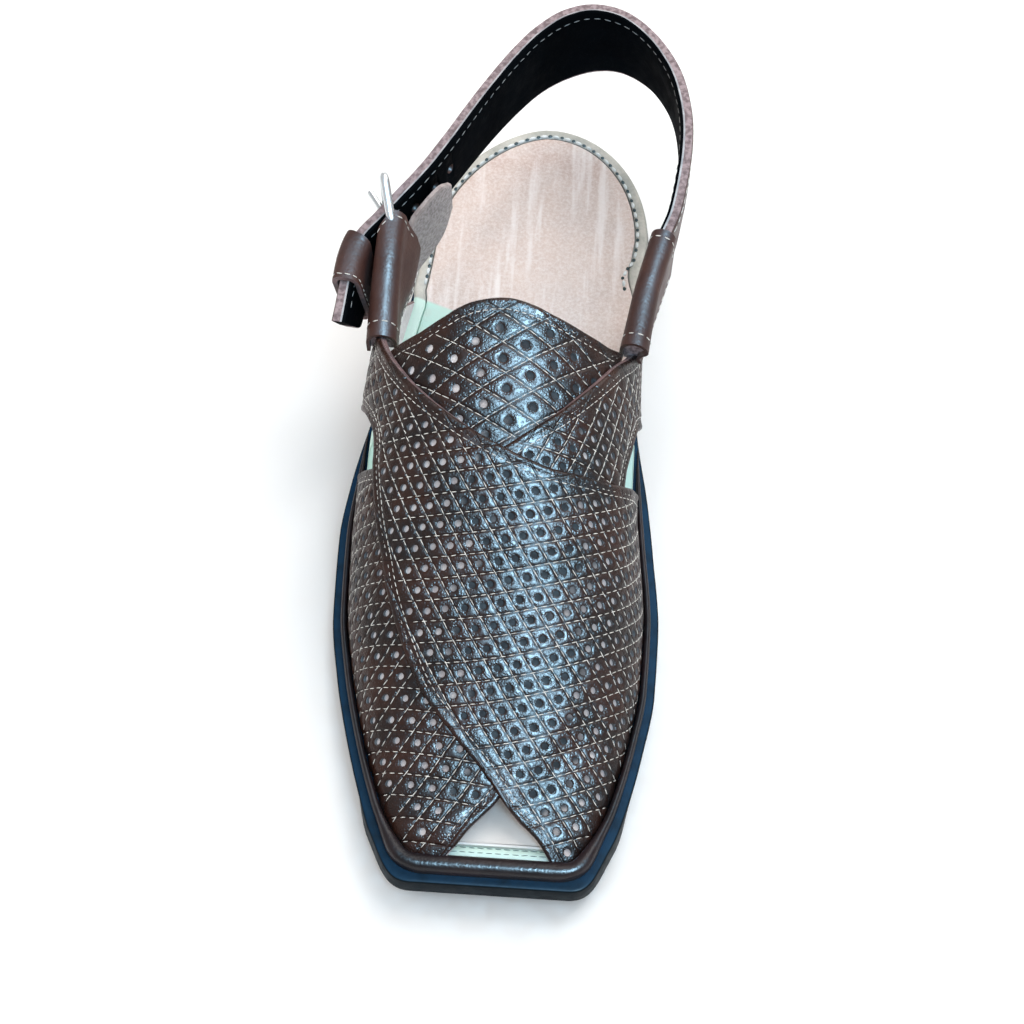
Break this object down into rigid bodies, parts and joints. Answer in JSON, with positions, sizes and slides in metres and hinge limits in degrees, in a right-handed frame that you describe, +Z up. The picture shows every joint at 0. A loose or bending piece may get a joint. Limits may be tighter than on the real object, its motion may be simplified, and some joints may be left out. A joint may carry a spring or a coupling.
{
  "type": "peshawari chappal",
  "caption": "Right-foot leather sandal: two punched and stitched bands cross over the foot to a toe notch, with a tongue, buckled back strap and flat rubber sole.",
  "frame": {"origin": "centre of the heel block's ground face, on the plane the shoe stands on", "axes": "+Z up; -Y points along the foot to the toe and +Y to the heel; +X is the inner (medial) side of the right foot"},
  "size_m": [0.1145, 0.2887, 0.085],
  "materials": {
    "black_rubber": "satin, with a slate-blue sheen on its upper edge",
    "rim_leather": "pale cream cut edge, hand stitched",
    "insole_leather": "matt tan with pale streaks",
    "rand_leather": "glossy dark brown",
    "brown_leather": "glossy dark brown",
    "suede": "rough flesh side",
    "steel": "bright nickel plate"
  },
  "bodies": {
    "root": {"outsole": "black_rubber", "heel_block": "black_rubber", "footbed": "rim_leather", "footbed_cover": "insole_leather", "rand": "rand_leather", "upper": "brown_leather", "tongue": "brown_leather", "back_strap": "brown_leather", "sleeve_lateral": "brown_leather", "sleeve_medial": "brown_leather", "keeper_loop": "brown_leather", "guard_flap": "suede", "buckle_frame": "steel", "buckle_prong": "steel"}
  },
  "joints": []
}
